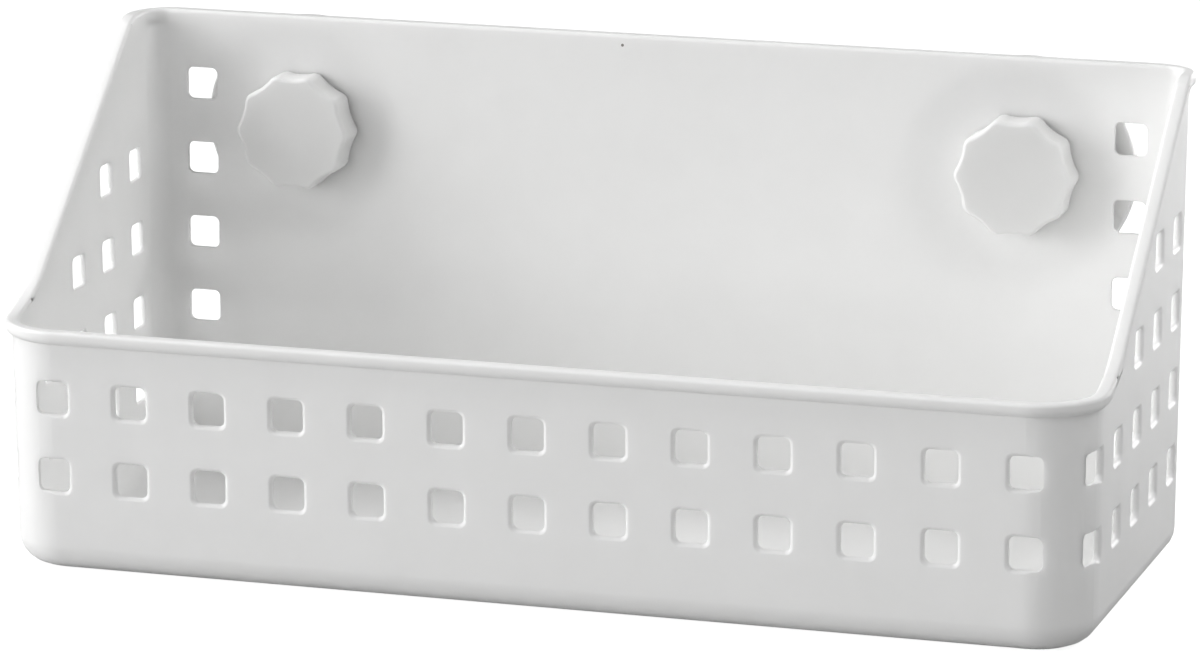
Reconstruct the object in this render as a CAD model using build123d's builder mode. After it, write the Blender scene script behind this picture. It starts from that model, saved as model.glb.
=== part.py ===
"""Hay feeder box that clamps to the wires of a small-animal cage.

A one-piece moulded basket has a low front wall, a high back wall and two sides whose
rim slopes between them.  Two thumb bolts pass through the back wall, and a threaded
clamp disc on each bolt grips the cage wires against the basket.

Millimetres.  The origin is the centre of the flat base, +Z is up, the front faces -Y.
"""

import os
from math import atan2, radians, tan

from build123d import *

# Basket, measured outside its walls at the base
base_width = 254.8
base_depth = 97.8
front_height = 57.2
back_height = 113.5
wall = 1.8
floor_thickness = 2.0
front_corner_radius = 14.0
back_corner_radius = 8.0
inner_back_radius = 4.9
draft = 0.6
base_edge_radius = 6.5
floor_edge_radius = 4.8

# Rim line of the two sides: flat at the front, a slope, flat again at the back
front_rim_run = 17.6
back_rim_run = 12.0
slope_foot_radius = 26.0
slope_head_radius = 4.0

# Lip that stands out round the whole rim
lip_overhang = 1.7
lip_height = 3.2
lip_edge_radius = 0.8
lip_under_radius = 1.5
rim_inner_radius = 0.9

# Square holes of the four walls, counted up from the base and back from the front
hole_size = 7.6
hole_corner_radius = 1.6
hole_chamfer = 0.8
hole_chamfer_angle = 45
first_row_height = 23.0
row_pitch = 18.2
end_column_inset = 13.4
front_columns = 13
front_rows = 2
back_rows = 5
side_first_column = 10.4
side_column_pitch = 18.5
side_rows = (2, 2, 3, 4, 4)

# Thumb bolts
bolt_inset = 39.2
bolt_drop = 26.8
head_radius = 14.4
head_thickness = 8.0
head_lobes = 10
flute_depth = 1.5
lobe_tip_radius = 1.6
head_edge_radius = 0.9
head_seat_gap = 0.25
head_core_depth = 5.5
head_core_radius = 10.4
head_hub_radius = 6.2
stud_diameter = 8.0
stud_reach = 21.5
stud_tip_chamfer = 0.8
bore_clearance = 0.08
shank_run_out = 0.6
thread_pitch = 3.0
thread_depth = 0.9
thread_root_width = 1.6
thread_crest_width = 0.9
thread_root_overlap = 0.3
thread_clearance = 0.2

# Clamp discs
wire_gap = 3.0
disc_radius = 26.0
disc_thickness = 2.4
disc_rim_width = 2.2
disc_rim_depth = 4.0
disc_edge_radius = 0.7
hub_radius = 8.0
hub_length = 8.0
grip_ribs = 6
grip_rib_width = 1.8
grip_rib_height = 2.6

# Room that cutting shapes have outside what they cut, and how far the front corners'
# curve takes the wall in from the flat face that a side hole is cut from
cut_margin = 5.0
corner_setback = 4.6

lean = tan(radians(draft))
front_y = -base_depth / 2
back_y = base_depth / 2
foot_y = front_y + front_rim_run
crest_y = back_y - back_rim_run
slope_angle = atan2(back_height - front_height, crest_y - foot_y)
end_column = base_width / 2 - end_column_inset
column_pitch = 2 * end_column / (front_columns - 1)
hole_depth = wall + corner_setback
bolt_spread = base_width - 2 * bolt_inset
bolt_height = back_height - bolt_drop


def wall_outline(height, offset, back_radius):
    """Outline of the outer wall at a height, grown by an offset."""
    grow = offset + height * lean
    with BuildSketch() as outline:
        Rectangle(base_width + 2 * grow, base_depth + 2 * grow)
        fillet(outline.vertices().group_by(Axis.Y)[0], radius=front_corner_radius + grow)
        fillet(outline.vertices().group_by(Axis.Y)[-1], radius=back_radius + height * lean)
    return outline.sketch


def rim_region(drop, side):
    """All that lies above (side 1) or below (side -1) the rim line lowered by a drop."""
    shift = drop * tan(slope_angle / 2)
    reach = base_depth / 2 + lip_overhang + back_height * lean + cut_margin
    far = back_height + cut_margin if side > 0 else -cut_margin
    corners = [
        (-reach, front_height - drop),
        (foot_y + shift, front_height - drop),
        (crest_y + shift, back_height - drop),
        (reach, back_height - drop),
    ]
    with BuildSketch(Plane.YZ) as region:
        with BuildLine() as outline:
            radii = (slope_foot_radius + drop, slope_head_radius + lip_height - drop)
            rim = FilletPolyline(*corners, radius=radii)
            Polyline(rim @ 1, (reach, far), (-reach, far), rim @ 0)
        make_face()
    return region.sketch


def wall_places(x, y, centres):
    """Places on the leaning outer face of the wall whose foot passes through x, y."""
    outwards = Vector(x, y, 0).normalized()
    along = Vector(0, 0, 1).cross(outwards)
    face = Plane((x, y, 0), x_dir=along, z_dir=outwards - Vector(0, 0, lean))
    return [face.location * Pos(*centre) for centre in centres]


def row_height(row):
    return first_row_height + row * row_pitch


def is_rim_line(edge):
    """True for an edge that runs round the rim, and not up a corner of the hollow."""
    rise = abs((edge @ 1 - edge @ 0).normalized().Z)
    return edge.center().Z > front_height - lip_height and rise < 1 - lean


def thread_ridge(side, clearance):
    """The screw ridge of one bolt, grown on every side by a clearance."""
    root_half = thread_root_width / 2 + clearance
    crest_half = thread_crest_width / 2 + clearance
    depth = thread_depth + clearance
    first_y = thread_start_y + thread_root_width / 2
    axis_start = Vector(side * bolt_spread / 2, first_y, bolt_height)
    with BuildPart() as ridge:
        with BuildLine() as path:
            Helix(thread_pitch, thread_length, stud_root_radius, axis_start, (0, 1, 0))
        begin = path.wire() @ 0
        with BuildSketch(Plane(begin, x_dir=begin - axis_start, z_dir=path.wire() % 0)):
            with BuildLine():
                Polyline(
                    (-thread_root_overlap, -root_half),
                    (0, -root_half),
                    (depth, -crest_half),
                    (depth, crest_half),
                    (0, root_half),
                    (-thread_root_overlap, root_half),
                    close=True,
                )
            make_face()
        sweep(path=path.wire(), is_frenet=True)
    return ridge.part


# The hollow inside the walls
with BuildPart() as cavity:
    with BuildSketch(Plane.XY.offset(floor_thickness)):
        add(wall_outline(floor_thickness, -wall, inner_back_radius))
    extrude(amount=back_height, taper=-draft)
    fillet(cavity.edges().group_by(Axis.Z)[0], radius=floor_edge_radius)

# Prism with a flared mouth that cuts one hole, its outer end on the wall's face
with BuildPart() as hole_plug:
    with BuildSketch():
        RectangleRounded(hole_size, hole_size, hole_corner_radius)
    extrude(amount=-hole_depth)
    with BuildSketch():
        mouth = hole_size + 2 * hole_chamfer
        RectangleRounded(mouth, mouth, hole_corner_radius + hole_chamfer)
    extrude(amount=-hole_chamfer, taper=hole_chamfer_angle)

front_holes = wall_places(
    0,
    front_y,
    [
        (column * column_pitch - end_column, row_height(row))
        for column in range(front_columns)
        for row in range(front_rows)
    ],
)
back_holes = wall_places(
    0,
    back_y,
    [(side * end_column, row_height(row)) for side in (-1, 1) for row in range(back_rows)],
)
side_holes = []
for side in (-1, 1):
    side_holes += wall_places(
        side * base_width / 2,
        0,
        [
            (side * (front_y + side_first_column + column * side_column_pitch), row_height(row))
            for column, rows in enumerate(side_rows)
            for row in range(rows)
        ],
    )

# Basket: lip, walls, floor, holes and the bores for the two bolts
half_run = base_width / 2 + lip_overhang + back_height * lean + cut_margin
with BuildPart() as basket:
    with BuildSketch():
        add(wall_outline(0, lip_overhang, back_corner_radius + lip_overhang))
    extrude(amount=back_height, taper=-draft)
    extrude(rim_region(lip_height, -1), amount=half_run, both=True, mode=Mode.SUBTRACT)
    extrude(rim_region(0, 1), amount=half_run, both=True, mode=Mode.SUBTRACT)
    upright = basket.faces().filter_by(lambda face: abs(face.normal_at().Z) < 2 * lean)
    borders = basket.edges().filter_by(
        lambda edge: sum(edge in face.edges() for face in upright) == 1
    )
    under = basket.faces().filter_by(lambda face: face.normal_at().Z < -0.5)
    lower = borders.filter_by(lambda edge: any(edge in face.edges() for face in under))
    upper = borders.filter_by(lambda edge: edge not in lower)
    fillet(lower, radius=lip_under_radius)
    fillet(upper, radius=lip_edge_radius)
    with BuildSketch():
        add(wall_outline(0, 0, back_corner_radius))
    extrude(amount=back_height, taper=-draft)
    fillet(basket.edges().group_by(Axis.Z)[0], radius=base_edge_radius)
    extrude(rim_region(0, 1), amount=half_run, both=True, mode=Mode.SUBTRACT)
    add(cavity.part, mode=Mode.SUBTRACT)
    fillet(basket.edges(Select.LAST).filter_by(is_rim_line), radius=rim_inner_radius)
    with Locations(*front_holes, *back_holes, *side_holes):
        add(hole_plug.part, mode=Mode.SUBTRACT)
    with BuildSketch(Plane.XZ.offset(-back_y - cut_margin)):
        with Locations(*[(side * bolt_spread / 2, bolt_height) for side in (-1, 1)]):
            Circle(stud_diameter / 2 + bore_clearance)
    extrude(amount=2 * cut_margin + wall, mode=Mode.SUBTRACT)
basket.part.label = "basket"

# Seats: the head bears on the leaning inner face, the disc on the outer one
head_seat_y = back_y - wall + (bolt_height - head_radius) * lean - head_seat_gap
outer_face_y = back_y + bolt_height * lean
stud_end_y = outer_face_y + stud_reach
thread_start_y = outer_face_y + shank_run_out
thread_length = stud_end_y - stud_tip_chamfer - thread_root_width - thread_start_y
stud_root_radius = stud_diameter / 2 - thread_depth
disc_front_y = outer_face_y + wire_gap


def across_axis(side, y):
    """Plane across a bolt's axis, with its normal towards the rear."""
    return Plane((side * bolt_spread / 2, y, bolt_height), x_dir=(1, 0, 0), z_dir=(0, 1, 0))


def make_thumb_bolt(side):
    """Scalloped, cored head on a stud with a plain shank and a coarse moulded thread."""
    seat = across_axis(side, head_seat_y)
    step = 360 / head_lobes
    with BuildPart() as bolt:
        with BuildSketch(seat):
            with BuildLine():
                for lobe in range(head_lobes):
                    tip = Vector(head_radius, 0).rotate(Axis.Z, lobe * step)
                    hollow = Vector(head_radius - flute_depth, 0)
                    hollow = hollow.rotate(Axis.Z, (lobe + 0.5) * step)
                    ThreePointArc(tip, hollow, tip.rotate(Axis.Z, step))
            make_face()
        extrude(amount=-head_thickness)
        fillet(bolt.edges().filter_by(Axis.Y), radius=lobe_tip_radius)
        fillet(bolt.edges().group_by(Axis.Y)[0], radius=head_edge_radius)
        with BuildSketch(seat):
            Circle(head_core_radius)
            Circle(head_hub_radius, mode=Mode.SUBTRACT)
        extrude(amount=-head_core_depth, mode=Mode.SUBTRACT)
        with BuildSketch(seat):
            Circle(stud_diameter / 2)
        extrude(amount=thread_start_y - head_seat_y)
        with BuildSketch(across_axis(side, thread_start_y)):
            Circle(stud_root_radius)
        extrude(amount=stud_end_y - thread_start_y)
        chamfer(bolt.edges().group_by(Axis.Y)[-1], length=stud_tip_chamfer)
        add(thread_ridge(side, 0))
    return bolt.part


def make_clamp_disc(side):
    """Flat round plate with a deeper rim, a threaded hub and radial grip ribs."""
    front = across_axis(side, disc_front_y)
    plate_back = across_axis(side, disc_front_y + disc_thickness)
    with BuildPart() as disc:
        with BuildSketch(front):
            Circle(disc_radius)
        extrude(amount=disc_rim_depth)
        with BuildSketch(plate_back):
            Circle(disc_radius - disc_rim_width)
        extrude(amount=disc_rim_depth, mode=Mode.SUBTRACT)
        rims = disc.edges().filter_by(GeomType.CIRCLE).group_by(SortBy.RADIUS)[-1]
        fillet(rims, radius=disc_edge_radius)
        with BuildSketch(front):
            Circle(hub_radius)
        extrude(amount=hub_length)
        with BuildSketch(plate_back):
            with PolarLocations((disc_radius - disc_rim_width / 2) / 2, grip_ribs):
                Rectangle(disc_radius - disc_rim_width / 2, grip_rib_width)
        extrude(amount=grip_rib_height)
        add(thread_ridge(side, thread_clearance), mode=Mode.SUBTRACT)
        with BuildSketch(front):
            Circle(stud_root_radius + thread_clearance)
        extrude(amount=hub_length, mode=Mode.SUBTRACT)
    return disc.part


pieces = {"basket": basket.part}
for name, side in (("left", -1), ("right", 1)):
    pieces["thumb_bolt_" + name] = make_thumb_bolt(side)
    pieces["clamp_disc_" + name] = make_clamp_disc(side)

os.makedirs("parts", exist_ok=True)
for name, piece in pieces.items():
    piece.label = name
    export_step(piece, f"parts/{name}.step")
    print(f"{name}: {piece.volume / 1000:.1f} cm3, {len(piece.solids())} solid")
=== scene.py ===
# %% [markdown]
# A hay feeder box for rabbits and other small animals: one white moulded basket, and two
# thumb bolts that draw two round discs against the wires of a cage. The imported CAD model
# is loaded first, as a fixed frame in metres. Every piece below is made in that frame, so
# it needs no fitting, and it rides on the CAD body that it belongs to.

from math import atan2, cos, pi, radians, sin, tan

import bmesh
import bpy
from mathutils import Matrix, Vector


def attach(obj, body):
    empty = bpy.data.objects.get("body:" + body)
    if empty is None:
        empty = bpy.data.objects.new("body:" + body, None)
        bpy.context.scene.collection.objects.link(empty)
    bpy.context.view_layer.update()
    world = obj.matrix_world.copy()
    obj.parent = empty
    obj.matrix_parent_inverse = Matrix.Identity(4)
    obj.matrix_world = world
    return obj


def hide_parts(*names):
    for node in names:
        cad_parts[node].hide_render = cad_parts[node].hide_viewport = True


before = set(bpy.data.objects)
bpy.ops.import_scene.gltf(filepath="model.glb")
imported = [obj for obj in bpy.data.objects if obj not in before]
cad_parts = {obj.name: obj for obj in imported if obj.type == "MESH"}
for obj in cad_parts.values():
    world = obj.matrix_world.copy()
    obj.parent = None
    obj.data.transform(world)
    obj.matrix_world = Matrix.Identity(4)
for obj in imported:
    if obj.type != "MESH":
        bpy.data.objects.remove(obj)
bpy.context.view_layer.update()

# %% [markdown]
# The real box has a handful of sizes that everything else follows. They are the same ones
# as in the CAD source, written here in millimetres times `mm`, because Blender works in
# metres. The walls lean outwards a little so that the moulding comes out of its tool.

# %% Main sizes
mm = 0.001
base_width, base_depth = 254.8 * mm, 97.8 * mm
front_height, back_height = 57.2 * mm, 113.5 * mm
wall, floor_thickness = 1.8 * mm, 2.0 * mm
front_corner_radius, back_corner_radius, inner_back_radius = 14 * mm, 8 * mm, 4.9 * mm
base_edge_radius, floor_edge_radius = 6.5 * mm, 4.8 * mm
lean = tan(radians(0.6))

foot_y = -base_depth / 2 + 17.6 * mm
crest_y = base_depth / 2 - 12 * mm
slope_foot_radius, slope_head_radius = 26 * mm, 4 * mm
slope = atan2(back_height - front_height, crest_y - foot_y)
lip_overhang, lip_height = 1.7 * mm, 3.2 * mm
lip_front_growth, lip_back_growth = 2.5 * mm, 2.7 * mm
print("slope of the side rims in degrees:", round(slope * 180 / pi, 1))

# %% [markdown]
# Five helpers carry the modelling. `new_object` turns a bmesh into an object. `settle`
# applies the modifiers that are on a piece by taking its evaluated mesh. `combine` adds a
# second solid or cuts it away with the exact Boolean, which is how a toolmaker thinks of a
# moulding: a block, less its cavity, less its holes. `round_off` bevels edges, or the
# corners of a flat outline, and `extrude` gives such an outline its depth.

# %% Modelling helpers
hair, seam = 0.01 * mm, 0.001 * mm
sharp_angle = radians(35)


def new_object(bm, name):
    bmesh.ops.recalc_face_normals(bm, faces=bm.faces)
    mesh = bpy.data.meshes.new(name)
    bm.to_mesh(mesh)
    bm.free()
    piece = bpy.data.objects.new(name, mesh)
    bpy.context.scene.collection.objects.link(piece)
    return piece


def settle(piece):
    graph = bpy.context.evaluated_depsgraph_get()
    settled = bpy.data.meshes.new_from_object(piece.evaluated_get(graph))
    old = piece.data
    piece.modifiers.clear()
    piece.data = settled
    bpy.data.meshes.remove(old)


def combine(piece, tool, operation):
    step = piece.modifiers.new("step", "BOOLEAN")
    step.operation, step.solver, step.object = operation, "EXACT", tool
    settle(piece)
    mesh = tool.data
    bpy.data.objects.remove(tool)
    bpy.data.meshes.remove(mesh)


def round_off(bm, items, radius, steps, affect="EDGES"):
    bmesh.ops.bevel(
        bm,
        geom=items,
        offset=radius,
        offset_type="OFFSET",
        segments=steps,
        profile=0.5,
        affect=affect,
        clamp_overlap=False,
        material=-1,
    )


def extrude(bm, shift):
    grown = bmesh.ops.extrude_face_region(bm, geom=bm.faces[:])["geom"]
    moved = [item for item in grown if isinstance(item, bmesh.types.BMVert)]
    bmesh.ops.translate(bm, vec=shift, verts=moved)


# %% [markdown]
# The basket's body is a leaning block with rounded upright corners and a rounded foot. A
# cube gives it: its top and bottom are scaled to size one after the other, then the four
# upright edges and the bottom loop are bevelled. The same helper makes the outer block,
# the hollow inside it and the block that the lip is cut from, each with its own growth.

# %% Leaning block
corner_steps, foot_steps = 12, 6


def moulded_block(name, grow, low, high, foot_radius, front_radius, back_radius):
    bm = bmesh.new()
    bmesh.ops.create_cube(bm, size=1)
    ends = [([v for v in bm.verts if v.co.z < 0], low), ([v for v in bm.verts if v.co.z > 0], high)]
    for level, height in ends:
        spread = 2 * (grow + height * lean)
        bmesh.ops.scale(bm, vec=(base_width + spread, base_depth + spread, 0), verts=level)
        bmesh.ops.translate(bm, vec=(0, 0, height), verts=level)
    for side, radius in ((-1, front_radius), (1, back_radius)):
        uprights = [
            edge
            for edge in bm.edges
            if abs(edge.verts[0].co.z - edge.verts[1].co.z) > (high - low) / 2
            and edge.verts[0].co.y * side > base_depth / 4
            and abs(edge.verts[0].co.x) > base_width / 4
        ]
        round_off(bm, uprights, radius, corner_steps)
    if foot_radius:
        loop = [edge for edge in bm.edges if max(v.co.z for v in edge.verts) < low + hair]
        round_off(bm, loop, foot_radius, foot_steps)
    return new_object(bm, name)


# %% [markdown]
# Seen from the side, the rim runs level along the front, climbs in a straight slope and
# is level again at the back. A flat outline with that line as one side is drawn once, its
# two bends are rounded by bevelling two corners, and it is extruded across the box. It
# trims the block to height, and lowered by the lip's height it trims the lip from below.

# %% Rim-shaped prism
cut_margin, bend_steps = 20 * mm, 12


def rim_prism(name, drop, above):
    bm = bmesh.new()
    shift, reach = drop * tan(slope / 2), base_depth / 2 + cut_margin
    half = base_width / 2 + cut_margin
    far = back_height + cut_margin if above else -cut_margin
    outline = [
        (-reach, front_height - drop),
        (foot_y + shift, front_height - drop),
        (crest_y + shift, back_height - drop),
        (reach, back_height - drop),
        (reach, far),
        (-reach, far),
    ]
    corners = [bm.verts.new((-half, y, z)) for y, z in outline]
    bm.faces.new(corners)
    bends = ((corners[1], slope_foot_radius + drop), (corners[2], slope_head_radius + lip_height - drop))
    for corner, radius in bends:
        round_off(bm, [corner], radius * tan(slope / 2), bend_steps, affect="VERTICES")
    extrude(bm, (2 * half, 0, 0))
    return new_object(bm, name)


# %% [markdown]
# The shell is the outer block plus the block of the lip, trimmed to the line of the rim,
# less the hollow. The lip's block stands out all round and has rounder upright corners.
# Each block ends a step above the last one, so that no two faces meet in one plane.

# %% Shell with its lip
trim, step_up = 6 * mm, 2 * mm
block_top = back_height + trim
basket = moulded_block(
    "basket_shell",
    grow=0,
    low=0,
    high=block_top,
    foot_radius=base_edge_radius,
    front_radius=front_corner_radius,
    back_radius=back_corner_radius,
)
lip = moulded_block(
    "lip",
    grow=lip_overhang,
    low=front_height - cut_margin,
    high=block_top + step_up,
    foot_radius=0,
    front_radius=front_corner_radius + lip_front_growth,
    back_radius=back_corner_radius + lip_back_growth,
)
combine(lip, rim_prism("under_lip", lip_height, False), "DIFFERENCE")
combine(basket, lip, "UNION")
combine(basket, rim_prism("over_rim", 0, True), "DIFFERENCE")
hollow = moulded_block(
    "hollow",
    grow=-wall,
    low=floor_thickness,
    high=block_top + 2 * step_up,
    foot_radius=floor_edge_radius,
    front_radius=front_corner_radius - wall,
    back_radius=inner_back_radius,
)
combine(basket, hollow, "DIFFERENCE")
print("shell:", len(basket.data.vertices), "vertices,", len(basket.data.polygons), "faces")

# %% [markdown]
# Square holes with rounded corners pierce every wall: two rows along the front, a column
# of five at each end of the back, and a stepped field on each side that follows the slope.
# Each hole is cut by a plug set square to its leaning wall. The plug flares at the outer
# face and a little at the inner one, so it rounds the hole's mouths as it cuts them. A
# bevel could do that afterwards, but it would run past the corners of the box, where the
# wall curves away. All the plugs make one mesh, so that one Boolean drills the whole box.

# %% Hole places
hole_size, hole_corner_radius = 7.6 * mm, 1.6 * mm
front_y, back_y = -base_depth / 2, base_depth / 2
first_row_height, row_pitch = 23.0 * mm, 18.2 * mm
front_rows, front_column_count, back_rows, side_rows = 2, 13, 5, (2, 2, 3, 4, 4)
end_column = base_width / 2 - 13.4 * mm
column_pitch = 2 * end_column / (front_column_count - 1)
front_columns = [column * column_pitch - end_column for column in range(front_column_count)]
side_first_column, side_column_pitch = front_y + 10.4 * mm, 18.5 * mm
side_columns = [side_first_column + column * side_column_pitch for column in range(len(side_rows))]


def wall_place(x, y, along_by, row):
    outwards = Vector((x, y, 0)).normalized()
    along = Vector((0, 0, 1)).cross(outwards)
    outwards = (outwards - Vector((0, 0, lean))).normalized()
    up = outwards.cross(along)
    point = Vector((x, y, 0)) + along * along_by + up * (first_row_height + row * row_pitch)
    place = Matrix((along, up, outwards)).transposed().to_4x4()
    place.translation = point
    return place


places = []
for row in range(front_rows):
    for x in front_columns:
        places.append(wall_place(0, front_y, x, row))
for side in (-1, 1):
    for row in range(back_rows):
        places.append(wall_place(0, back_y, side * end_column, row))
    for y, rows in zip(side_columns, side_rows):
        for row in range(rows):
            places.append(wall_place(side * base_width / 2, 0, side * y, row))
print("holes:", len(places))

# %% Drill the holes
mouth_radius, mouth_steps, mouth_turn = 0.9 * mm, 4, radians(80)
inner_mouth_cut, clear = 0.3 * mm, 0.05 * mm
plug_start, plug_end, hole_corner_steps = -7 * mm, 3 * mm, 5


def widen(bm, cap, height, half):
    grown = bmesh.ops.extrude_face_region(bm, geom=[cap])["geom"]
    corners = [item for item in grown if isinstance(item, bmesh.types.BMVert)]
    now = max(v.co.x for v in corners)
    bmesh.ops.scale(bm, vec=(half / now, half / now, 1), verts=corners)
    bmesh.ops.translate(bm, vec=(0, 0, height - corners[0].co.z), verts=corners)
    bm.faces.remove(cap)
    return next(item for item in grown if isinstance(item, bmesh.types.BMFace))


def hole_plug():
    bm = bmesh.new()
    half = hole_size / 2
    inner_half = half + inner_mouth_cut + clear
    bmesh.ops.create_grid(bm, x_segments=1, y_segments=1, size=inner_half)
    round_off(bm, bm.verts[:], hole_corner_radius, hole_corner_steps, affect="VERTICES")
    bmesh.ops.translate(bm, vec=(0, 0, plug_start), verts=bm.verts)
    cap = bm.faces[:][0]
    bmesh.ops.duplicate(bm, geom=[cap])
    cap = widen(bm, cap, -wall - clear, inner_half)
    cap = widen(bm, cap, inner_mouth_cut - wall, half)
    cap = widen(bm, cap, -mouth_radius, half)
    for step in range(1, mouth_steps + 1):
        turn = step / mouth_steps * mouth_turn
        cap = widen(bm, cap, mouth_radius * (sin(turn) - 1), half + mouth_radius * (1 - cos(turn)))
    rise = clear + mouth_radius * (1 - sin(mouth_turn))
    flared = half + mouth_radius * (1 - cos(mouth_turn)) + rise * tan(mouth_turn)
    cap = widen(bm, cap, clear, flared)
    widen(bm, cap, plug_end, flared)
    bmesh.ops.remove_doubles(bm, verts=bm.verts, dist=seam)
    print("plug:", len(bm.faces), "faces, open edges:", sum(not e.is_manifold for e in bm.edges))
    bmesh.ops.recalc_face_normals(bm, faces=bm.faces)
    mesh = bpy.data.meshes.new("hole_plug")
    bm.to_mesh(mesh)
    bm.free()
    return mesh


bm = bmesh.new()
plug = hole_plug()
for place in places:
    start = len(bm.verts)
    bm.from_mesh(plug)
    bm.verts.ensure_lookup_table()
    bmesh.ops.transform(bm, matrix=place, verts=bm.verts[start:])
bpy.data.meshes.remove(plug)
combine(basket, new_object(bm, "hole_plugs"), "DIFFERENCE")
print("with holes:", len(basket.data.vertices), "vertices,", len(basket.data.polygons), "faces")

# %% [markdown]
# The bolts stand near the ends of the back wall, as mirror images. A bore or a knob is made
# lying flat at the origin, and `on_bolt_axis` turns it to face forwards and puts it on the
# axis of one of the bolts.

# %% Bores for the bolts
bolt_x, bolt_z = base_width / 2 - 39.2 * mm, back_height - 26.8 * mm
bore_radius, bore_length, bore_steps = 4.08 * mm, 12 * mm, 48


def on_bolt_axis(side, y):
    return Matrix.Translation((side * bolt_x, y, bolt_z)) @ Matrix.Rotation(pi / 2, 4, "X")


bm = bmesh.new()
for side in (-1, 1):
    bmesh.ops.create_cone(
        bm,
        cap_ends=True,
        segments=bore_steps,
        radius1=bore_radius,
        radius2=bore_radius,
        depth=bore_length,
        matrix=on_bolt_axis(side, back_y),
    )
combine(basket, new_object(bm, "bores"), "DIFFERENCE")
print("drilled:", len(basket.data.vertices), "vertices,", len(basket.data.polygons), "faces")

# %% [markdown]
# A moulded edge is never sharp, and the light line along it tells the eye that this is
# plastic. Each sharp edge gets a bevel weight for where it is: the lip's under edge is the
# roundest, and the two edges on top of the rim are tighter. The holes have their mouths
# already, so they get none. The walls are first cut through every row and column of holes,
# which leaves small simple faces for the bevel and for the shading. One Bevel modifier
# then reads the weights.

# %% Edge softness
rim_inner_radius, lip_top_radius, lip_under_radius = 0.9 * mm, 0.8 * mm, 1.5 * mm
hole_reach, bore_reach, soften_steps = 8.4 * mm, 6 * mm, 5
underside_normal, upright_normal = -0.4, 0.1
weld_reach, flat_angle = 0.004 * mm, radians(0.2)


def edge_radius(edge):
    if len(edge.link_faces) != 2 or edge.calc_face_angle_signed(0) < sharp_angle:
        return 0
    middle = (edge.verts[0].co + edge.verts[1].co) / 2
    if any((middle - place.translation).length < hole_reach for place in places):
        return 0
    if Vector((abs(middle.x) - bolt_x, 0, middle.z - bolt_z)).length < bore_reach:
        return 0
    normals = [face.normal for face in edge.link_faces]
    if min(normal.z for normal in normals) < underside_normal:
        return lip_under_radius
    outwards = Vector((middle.x, middle.y, 0))
    inner = any(abs(n.z) < upright_normal and n.dot(outwards) < 0 for n in normals)
    return rim_inner_radius if inner else lip_top_radius


bm = bmesh.new()
bm.from_mesh(basket.data)
bmesh.ops.remove_doubles(bm, verts=bm.verts, dist=weld_reach)
bmesh.ops.dissolve_limit(bm, angle_limit=flat_angle, verts=bm.verts, edges=bm.edges)
row_heights = [first_row_height + row * row_pitch for row in range(back_rows)]
cuts = [(Vector((x, 0, 0)), Vector((1, 0, 0))) for x in front_columns]
cuts += [(Vector((0, y, 0)), Vector((0, 1, 0))) for y in side_columns]
cuts += [(Vector((0, 0, z)), Vector((0, 0, 1))) for z in row_heights]
for point, normal in cuts:
    whole = bm.verts[:] + bm.edges[:] + bm.faces[:]
    bmesh.ops.bisect_plane(bm, geom=whole, plane_co=point, plane_no=normal, dist=seam)
weight = bm.edges.layers.float.new("bevel_weight_edge")
counts = {}
for edge in bm.edges:
    radius = edge_radius(edge)
    edge[weight] = radius / lip_under_radius
    label = round(radius / mm, 2)
    counts[label] = counts.get(label, 0) + 1
for face in bm.faces:
    face.smooth = True
bm.to_mesh(basket.data)
bm.free()
soften = basket.modifiers.new("soften", "BEVEL")
soften.limit_method, soften.width, soften.segments = "WEIGHT", lip_under_radius, soften_steps
soften.use_clamp_overlap, soften.harden_normals, soften.miter_outer = False, False, "MITER_ARC"
settle(basket)
print("edges by radius in mm:", counts)
print("softened:", len(basket.data.vertices), "vertices,", len(basket.data.polygons), "faces")


# %% [markdown]
# Each thumb bolt is a knob with ten soft lobes for the fingers, a cored back, a stud that
# goes through the wall, and a coarse thread. The knob starts as a ten-pointed star whose
# twenty corners are bevelled round, the points tightly and the hollows widely. The star is
# extruded to the knob's thickness, and its front edge gets a soft round.

# %% Knob
knob_lobes, lobe_reach, hollow_reach = 10, 14.42 * mm, 12.6 * mm
lobe_round, hollow_round = 1.5 * mm, 2.9 * mm
knob_thickness, knob_edge_radius, knob_back_radius = 8 * mm, 1.0 * mm, 0.3 * mm
lobe_steps, knob_edge_steps, knob_back_steps = 6, 5, 2
knob_radius, knob_seat_gap = 14.4 * mm, 0.25 * mm
knob_seat_y = back_y - wall + (bolt_z - knob_radius) * lean - knob_seat_gap


def knob(name, side):
    bm = bmesh.new()
    star = bmesh.ops.create_circle(bm, cap_ends=True, segments=2 * knob_lobes, radius=1)["verts"]
    tips = [v for v in star if round(atan2(v.co.y, v.co.x) / (pi / knob_lobes)) % 2 == 0]
    hollows = [v for v in star if v not in tips]
    bmesh.ops.scale(bm, vec=(lobe_reach, lobe_reach, 1), verts=tips)
    bmesh.ops.scale(bm, vec=(hollow_reach, hollow_reach, 1), verts=hollows)
    round_off(bm, tips, lobe_round, lobe_steps, affect="VERTICES")
    round_off(bm, hollows, hollow_round, lobe_steps, affect="VERTICES")
    extrude(bm, (0, 0, knob_thickness))
    front = [edge for edge in bm.edges if min(v.co.z for v in edge.verts) > knob_thickness - hair]
    back = [edge for edge in bm.edges if max(v.co.z for v in edge.verts) < hair]
    round_off(bm, front, knob_edge_radius, knob_edge_steps)
    round_off(bm, back, knob_back_radius, knob_back_steps)
    bmesh.ops.transform(bm, matrix=on_bolt_axis(side, knob_seat_y), verts=bm.verts)
    return new_object(bm, name)


# %% [markdown]
# Round parts are turned, as on a lathe: half a section is drawn as a chain of corners and
# spun once round the bolt's axis. The thread is spun too, with a small step along the axis
# at each turn of the spin, which draws the section out into a helix. It is made once a
# little larger, to cut the matching groove into the disc's hub.

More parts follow.
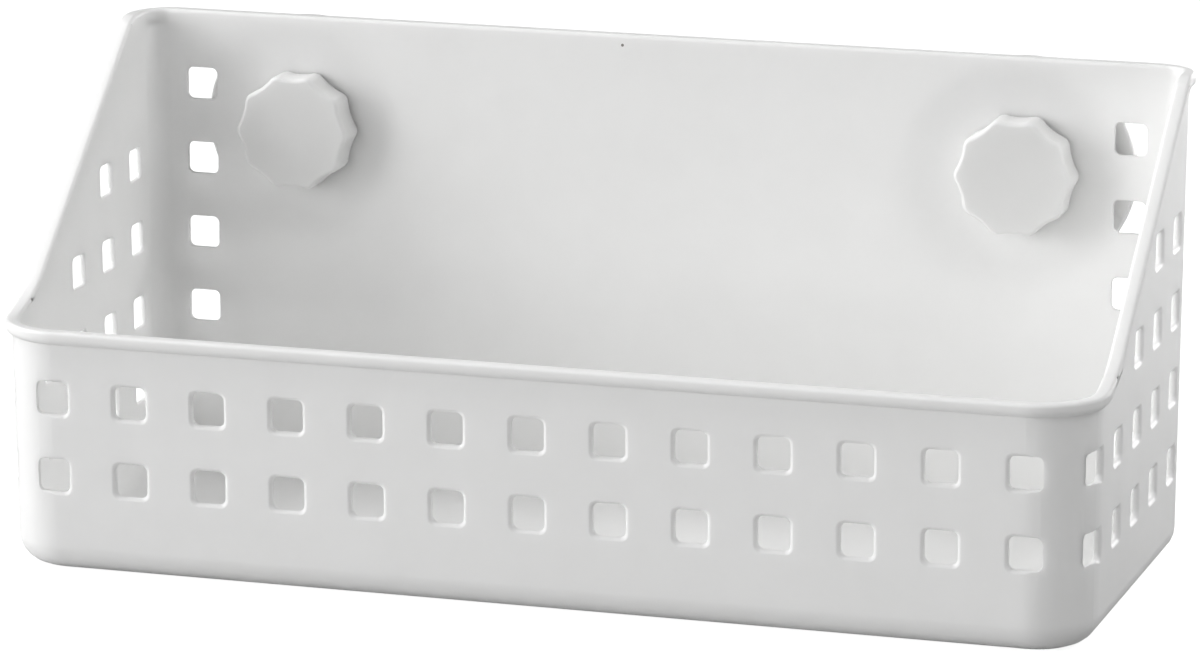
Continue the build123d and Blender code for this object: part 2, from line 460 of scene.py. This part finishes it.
# %% Turned parts and threads
def turned(name, side, section, steps):
    bm = bmesh.new()
    corners = [bm.verts.new((side * bolt_x + radius, y, bolt_z)) for radius, y in section]
    for start, end in zip(corners, corners[1:]):
        bm.edges.new((start, end))
    bmesh.ops.spin(
        bm,
        geom=bm.verts[:] + bm.edges[:],
        cent=(side * bolt_x, 0, bolt_z),
        axis=(0, 1, 0),
        angle=2 * pi,
        steps=steps,
        use_merge=True,
    )
    bmesh.ops.remove_doubles(bm, verts=bm.verts, dist=2 * seam)
    return new_object(bm, name)


outer_face_y = back_y + bolt_z * lean
stud_end_y, thread_start_y = outer_face_y + 21.5 * mm, outer_face_y + 0.6 * mm
stud_radius, stud_root_radius, stud_tip_chamfer = 4 * mm, 3.1 * mm, 0.8 * mm
thread_pitch, thread_depth, thread_overlap = 3 * mm, 0.9 * mm, 0.3 * mm
thread_root_half, thread_crest_half, steps_each_turn = 0.8 * mm, 0.45 * mm, 36
thread_length = stud_end_y - stud_tip_chamfer - 2 * thread_root_half - thread_start_y


def thread_ridge(name, side, clearance):
    bm = bmesh.new()
    root, crest = thread_root_half + clearance, thread_crest_half + clearance
    inner, outer = stud_root_radius - thread_overlap, stud_root_radius + thread_depth + clearance
    middle = thread_start_y + thread_root_half
    section = [(inner, -root), (stud_root_radius, -root), (outer, -crest)]
    section += [(outer, crest), (stud_root_radius, root), (inner, root)]
    corners = [bm.verts.new((side * bolt_x + radius, middle + y, bolt_z)) for radius, y in section]
    face = bm.faces.new(corners)
    steps = round(steps_each_turn * thread_length / thread_pitch)
    bmesh.ops.spin(
        bm,
        geom=[face],
        cent=(side * bolt_x, 0, bolt_z),
        axis=(0, 1, 0),
        dvec=(0, thread_length / steps, 0),
        angle=2 * pi * thread_length / thread_pitch,
        steps=steps,
    )
    return new_object(bm, name)


# %% [markdown]
# A thumb bolt is the knob, less a ring-shaped core from behind, plus the turned stud and
# the thread. The stud starts a little inside the knob, so that the two melt into one solid.

# %% Thumb bolts
core_depth, core_radius, hub_radius = 5.5 * mm, 10.4 * mm, 6.2 * mm
overshoot, stud_sink, stud_steps = 1 * mm, 2 * mm, 64


def thumb_bolt(name, side):
    bolt = knob(name, side)
    inside, outside = knob_seat_y - core_depth, knob_seat_y + overshoot
    core = [(hub_radius, outside), (hub_radius, inside), (core_radius, inside), (core_radius, outside)]
    combine(bolt, turned("core", side, core + core[:1], stud_steps), "DIFFERENCE")
    stud = [
        (0, knob_seat_y - stud_sink),
        (stud_radius, knob_seat_y - stud_sink),
        (stud_radius, thread_start_y),
        (stud_root_radius, thread_start_y),
        (stud_root_radius, stud_end_y - stud_tip_chamfer),
        (stud_root_radius - stud_tip_chamfer, stud_end_y),
        (0, stud_end_y),
    ]
    combine(bolt, turned("stud", side, stud, stud_steps), "UNION")
    combine(bolt, thread_ridge("thread", side, 0), "UNION")
    return bolt


# %% [markdown]
# The clamp disc sits behind the box's wall, with the wires of the cage between them. It is
# a shallow dish with a deeper rim, a hub with the matching thread, and six ribs on its back
# that stiffen it and give the fingers a hold. The dish and hub are turned, and the ribs are
# boxes laid out round the hub.

# %% Clamp discs
disc_radius, disc_thickness, disc_rim_width, disc_rim_depth = 26 * mm, 2.4 * mm, 2.2 * mm, 4 * mm
disc_hub_radius, disc_hub_length, disc_steps = 8 * mm, 8 * mm, 96
rib_count, rib_width, rib_height, rib_sink = 6, 1.8 * mm, 2.6 * mm, 0.4 * mm
edge_cut, rim_slant = 0.7 * mm, 0.1 * mm
edge_shoulder = 0.3 * edge_cut
wire_gap, thread_clearance = 3 * mm, 0.2 * mm
disc_front_y = outer_face_y + wire_gap


def rib_boxes(name, side):
    bm = bmesh.new()
    length = disc_radius - disc_rim_width / 2
    middle_y = disc_front_y + disc_thickness + rib_height / 2 - rib_sink / 2
    middle = Matrix.Translation((length / 2, middle_y, 0))
    size = Matrix.Diagonal((length, rib_height + rib_sink, rib_width, 1))
    axle = Matrix.Translation((side * bolt_x, 0, bolt_z))
    for rib in range(rib_count):
        turn = Matrix.Rotation(2 * pi * rib / rib_count, 4, "Y")
        bmesh.ops.create_cube(bm, size=1, matrix=axle @ turn @ middle @ size)
    return new_object(bm, name)


def clamp_disc(name, side):
    y = disc_front_y
    rim_back, plate_back = y + disc_rim_depth, y + disc_thickness
    dish = [
        (0, y),
        (disc_radius - edge_cut, y),
        (disc_radius - edge_shoulder, y + edge_shoulder),
        (disc_radius, y + edge_cut),
        (disc_radius, rim_back - edge_cut),
        (disc_radius - edge_shoulder, rim_back - edge_shoulder),
        (disc_radius - edge_cut, rim_back),
        (disc_radius - disc_rim_width, rim_back),
        (disc_radius - disc_rim_width - rim_slant, plate_back),
        (disc_hub_radius, plate_back),
        (disc_hub_radius, y + disc_hub_length),
        (0, y + disc_hub_length),
    ]
    disc = turned(name, side, dish, disc_steps)
    combine(disc, rib_boxes("ribs", side), "UNION")
    combine(disc, thread_ridge("groove", side, thread_clearance), "DIFFERENCE")
    radius = stud_root_radius + thread_clearance
    start, end = y - overshoot, y + disc_hub_length + overshoot
    bore = [(0, start), (radius, start), (radius, end), (0, end)]
    combine(disc, turned("disc_bore", side, bore, stud_steps), "DIFFERENCE")
    return disc


fittings = {}
for word, side in (("left", -1), ("right", 1)):
    bolt = thumb_bolt("scalloped_bolt_" + word, side)
    disc = clamp_disc("ribbed_disc_" + word, side)
    fittings["thumb_bolt_" + word] = (bolt, "bolt_" + word, "bolt")
    fittings["clamp_disc_" + word] = (disc, "disc_" + word, "disc")
for node, (piece, body, slot) in fittings.items():
    print(node, len(piece.data.polygons), "faces")

# %% [markdown]
# Everything is white polypropylene, fresh from the tool: a satin surface with a faint
# unevenness that breaks up the reflections, slightly cloudy in tone, and here and there a
# speck of dust that was caught in the melt. The marks are one shared node group on Object
# coordinates, and each plastic sets its own colours and strengths. Voronoi cells give the
# specks: a small disc in the middle of a few cells that are picked by their random colour.

# %% Marks of moulding, as a shared group
cloud_detail, grain_detail, grain_share = 3, 2, 0.15
speck_radius, speck_share = 0.045, 0.02
marks = bpy.data.node_groups.new("moulding_marks", "ShaderNodeTree")
marks.interface.new_socket("Vector", in_out="INPUT", socket_type="NodeSocketVector")
for label, value in (("Cloud Scale", 90.0), ("Grain Scale", 900.0), ("Speck Scale", 120.0)):
    marks.interface.new_socket(label, in_out="INPUT", socket_type="NodeSocketFloat").default_value = value
for label in ("Clouds", "Height", "Specks"):
    marks.interface.new_socket(label, in_out="OUTPUT", socket_type="NodeSocketFloat")
nodes, links = marks.nodes, marks.links
source, result = nodes.new("NodeGroupInput"), nodes.new("NodeGroupOutput")


def noise(scale_label, detail):
    node = nodes.new("ShaderNodeTexNoise")
    node.inputs["Detail"].default_value = detail
    links.new(source.outputs["Vector"], node.inputs["Vector"])
    links.new(source.outputs[scale_label], node.inputs["Scale"])
    return node.outputs["Fac"]


def calculate(operation, *values):
    node = nodes.new("ShaderNodeMath")
    node.operation = operation
    for socket, value in zip(node.inputs, values):
        if isinstance(value, float):
            socket.default_value = value
        else:
            links.new(value, socket)
    return node.outputs["Value"]


clouds = noise("Cloud Scale", cloud_detail)
grain = noise("Grain Scale", grain_detail)
height = calculate("MULTIPLY_ADD", grain, grain_share, clouds)
cells = nodes.new("ShaderNodeTexVoronoi")
links.new(source.outputs["Vector"], cells.inputs["Vector"])
links.new(source.outputs["Speck Scale"], cells.inputs["Scale"])
pick = nodes.new("ShaderNodeSeparateColor")
links.new(cells.outputs["Color"], pick.inputs["Color"])
near = calculate("LESS_THAN", cells.outputs["Distance"], speck_radius)
chosen = calculate("LESS_THAN", pick.outputs["Red"], speck_share)
specks = calculate("MULTIPLY", near, chosen)
links.new(clouds, result.inputs["Clouds"])
links.new(height, result.inputs["Height"])
links.new(specks, result.inputs["Specks"])
print("group:", marks.name, "with", len(nodes), "nodes")

# %% [markdown]
# Thin white plastic isn't opaque. Light goes in, spreads for a few millimetres and comes
# out again, so the rims of the holes and the lobes of the bolts glow at their edges and the
# shadows beside them are soft. Subsurface scattering in the Principled shader does that. An
# emission or a lighter edge colour could fake it, but would stay bright in the dark.

# %% Plastics
glow_share, glow_depth = 0.7, 2.5 * mm
dust_colour = (0.22, 0.21, 0.20, 1)
gloss_swing, unevenness, bump_depth = 0.05, 0.4, 0.05 * mm


def plastic(name, dark, light, roughness):
    material = bpy.data.materials.new(name)
    material.use_nodes = True
    nodes, links = material.node_tree.nodes, material.node_tree.links
    shader = nodes["Principled BSDF"]
    shader.inputs["IOR"].default_value = 1.49
    shader.inputs["Subsurface Weight"].default_value = glow_share
    shader.inputs["Subsurface Radius"].default_value = (1, 1, 1)
    shader.inputs["Subsurface Scale"].default_value = glow_depth
    place = nodes.new("ShaderNodeTexCoord")
    group = nodes.new("ShaderNodeGroup")
    group.node_tree = marks
    links.new(place.outputs["Object"], group.inputs["Vector"])
    tone = nodes.new("ShaderNodeMix")
    tone.data_type = "RGBA"
    tone.inputs["A"].default_value, tone.inputs["B"].default_value = (*dark, 1), (*light, 1)
    links.new(group.outputs["Clouds"], tone.inputs["Factor"])
    dusty = nodes.new("ShaderNodeMix")
    dusty.data_type = "RGBA"
    dusty.inputs["B"].default_value = dust_colour
    links.new(group.outputs["Specks"], dusty.inputs["Factor"])
    links.new(tone.outputs["Result"], dusty.inputs["A"])
    links.new(dusty.outputs["Result"], shader.inputs["Base Color"])
    gloss = nodes.new("ShaderNodeMapRange")
    gloss.inputs["To Min"].default_value = roughness - gloss_swing
    gloss.inputs["To Max"].default_value = roughness + gloss_swing
    links.new(group.outputs["Clouds"], gloss.inputs["Value"])
    links.new(gloss.outputs["Result"], shader.inputs["Roughness"])
    bump = nodes.new("ShaderNodeBump")
    bump.inputs["Strength"].default_value = unevenness
    bump.inputs["Distance"].default_value = bump_depth
    links.new(group.outputs["Height"], bump.inputs["Height"])
    links.new(bump.outputs["Normal"], shader.inputs["Normal"])
    return material


plastics = {
    "basket": plastic("basket_plastic", (0.87, 0.87, 0.865), (0.91, 0.91, 0.905), 0.38),
    "bolt": plastic("bolt_plastic", (0.79, 0.79, 0.785), (0.83, 0.83, 0.825), 0.40),
    # The discs are the basket's white plastic, made darker here as painted shade for the shadow they sit
    # in behind the wall.
    "disc": plastic("disc_plastic_painted_shade", (0.82, 0.82, 0.815), (0.86, 0.86, 0.855), 0.40),
}


# %% [markdown]
# Each piece hides the CAD node that it replaces, rides on its body and wears its plastic. Smooth shading
# with sharp edges kept, and normals weighted by the size of the faces,
# let the broad walls look flat and only the rounds turn the light.

# %% Dress the bodies
def dress(piece, node, body, slot):
    piece.data.materials.clear()
    piece.data.materials.append(plastics[slot])
    for polygon in piece.data.polygons:
        polygon.use_smooth = True
    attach(piece, body)
    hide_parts(node)


def even_out(piece):
    even = piece.modifiers.new("even_normals", "WEIGHTED_NORMAL")
    even.keep_sharp = True


basket.name = "basket_shell"
dress(basket, "basket", "box", "basket")
even_out(basket)
for node, (piece, body, slot) in fittings.items():
    dress(piece, node, body, slot)
    piece.data.set_sharp_from_angle(angle=sharp_angle)
    even_out(piece)
print("dressed:", basket.name, *sorted(piece.name for piece, body, slot in fittings.values()))

# %% [markdown]
# The stage is a plain pale floor that runs off to white. Both the floor and the background
# shine for the camera, but the floor gives the box only a little light and the background
# none. So they stay white and don't flood the box's edges.

# %% Floor
floor_reach, floor_drop = 6, 0.2 * mm
floor_glow, paper_white, background_white = 0.06, 0.9, 1.1


def shine(nodes, links, unseen, seen):
    path = nodes.new("ShaderNodeLightPath")
    strength = nodes.new("ShaderNodeMapRange")
    strength.inputs["To Min"].default_value = unseen
    strength.inputs["To Max"].default_value = seen
    links.new(path.outputs["Is Camera Ray"], strength.inputs["Value"])
    return strength.outputs["Result"]


bm = bmesh.new()
bmesh.ops.create_grid(bm, x_segments=1, y_segments=1, size=floor_reach)
floor = new_object(bm, "studio_floor")
floor.location.z = -floor_drop
paper = bpy.data.materials.new("studio_paper")
paper.use_nodes = True
nodes, links = paper.node_tree.nodes, paper.node_tree.links
shader = nodes["Principled BSDF"]
shader.inputs["Base Color"].default_value = (0.35, 0.35, 0.35, 1)
shader.inputs["Roughness"].default_value = 0.9
shader.inputs["Emission Color"].default_value = (1, 1, 1, 1)
links.new(shine(nodes, links, floor_glow, paper_white), shader.inputs["Emission Strength"])
floor.data.materials.append(paper)

world = bpy.context.scene.world or bpy.data.worlds.new("studio")
bpy.context.scene.world = world
world.use_nodes = True
nodes, links = world.node_tree.nodes, world.node_tree.links
nodes["Background"].inputs["Color"].default_value = (1, 1, 1, 1)
links.new(shine(nodes, links, 0, background_white), nodes["Background"].inputs["Strength"])
print("floor:", 2 * floor_reach, "m wide")

# %% [markdown]
# Soft light comes from seven lamps that aim at the middle of the box. The main softbox
# stands low at the front left. Two more light the left side, one lights the right side from
# above, and a small one lights the right end from close behind. Two weak ones fill the
# front. So the front and both ends are bright, and the corner at the front right, which
# faces none of the strong lamps, stays greyer.

# %% Light
aim = Vector((0, 0, 50 * mm))


def softbox(name, azimuth, elevation, power, distance=2.5, size=1.6):
    light = bpy.data.lights.new(name, "AREA")
    light.shape, light.size, light.energy = "SQUARE", size, power
    lamp = bpy.data.objects.new(name, light)
    bpy.context.scene.collection.objects.link(lamp)
    level = cos(radians(elevation))
    towards = Vector((level * sin(radians(azimuth)), -level * cos(radians(azimuth)), 0))
    towards.z = sin(radians(elevation))
    lamp.location = aim + distance * towards
    lamp.rotation_euler = towards.to_track_quat("Z", "Y").to_euler()
    print(name, power, "W")


softbox("left_low_softbox", -60, 10, 44)
softbox("left_softbox", -90, 20, 12)
softbox("left_high_softbox", -90, 50, 28)
softbox("right_high_softbox", 90, 50, 28.5)
softbox("right_back_softbox", 150, 15, 1.2, distance=0.5, size=0.3)
softbox("front_left_fill", -20, 12, 12.5)
softbox("front_fill", 0, 15, 3)

# %% [markdown]
# The camera looks down on the box a little, from the front right, through a long lens. Its
# right and up directions are given as vectors, because a real camera is never quite level.

# %% Camera
lens = bpy.data.cameras.new("camera")
lens.sensor_width, lens.lens = 36, 185.98
lens.clip_end = 50
camera = bpy.data.objects.new("camera", lens)
bpy.context.scene.collection.objects.link(camera)
right = Vector((0.952985, 0.303009, -0.002351))
up = Vector((-0.068505, 0.222996, 0.972409))
back = right.cross(up)
pose = Matrix((right, up, back)).transposed().to_4x4()
pose.translation = Vector((0.4206, -1.31556, 0.38634))
camera.matrix_world = pose
bpy.context.scene.camera = camera
bpy.context.scene.view_settings.view_transform = "Standard"
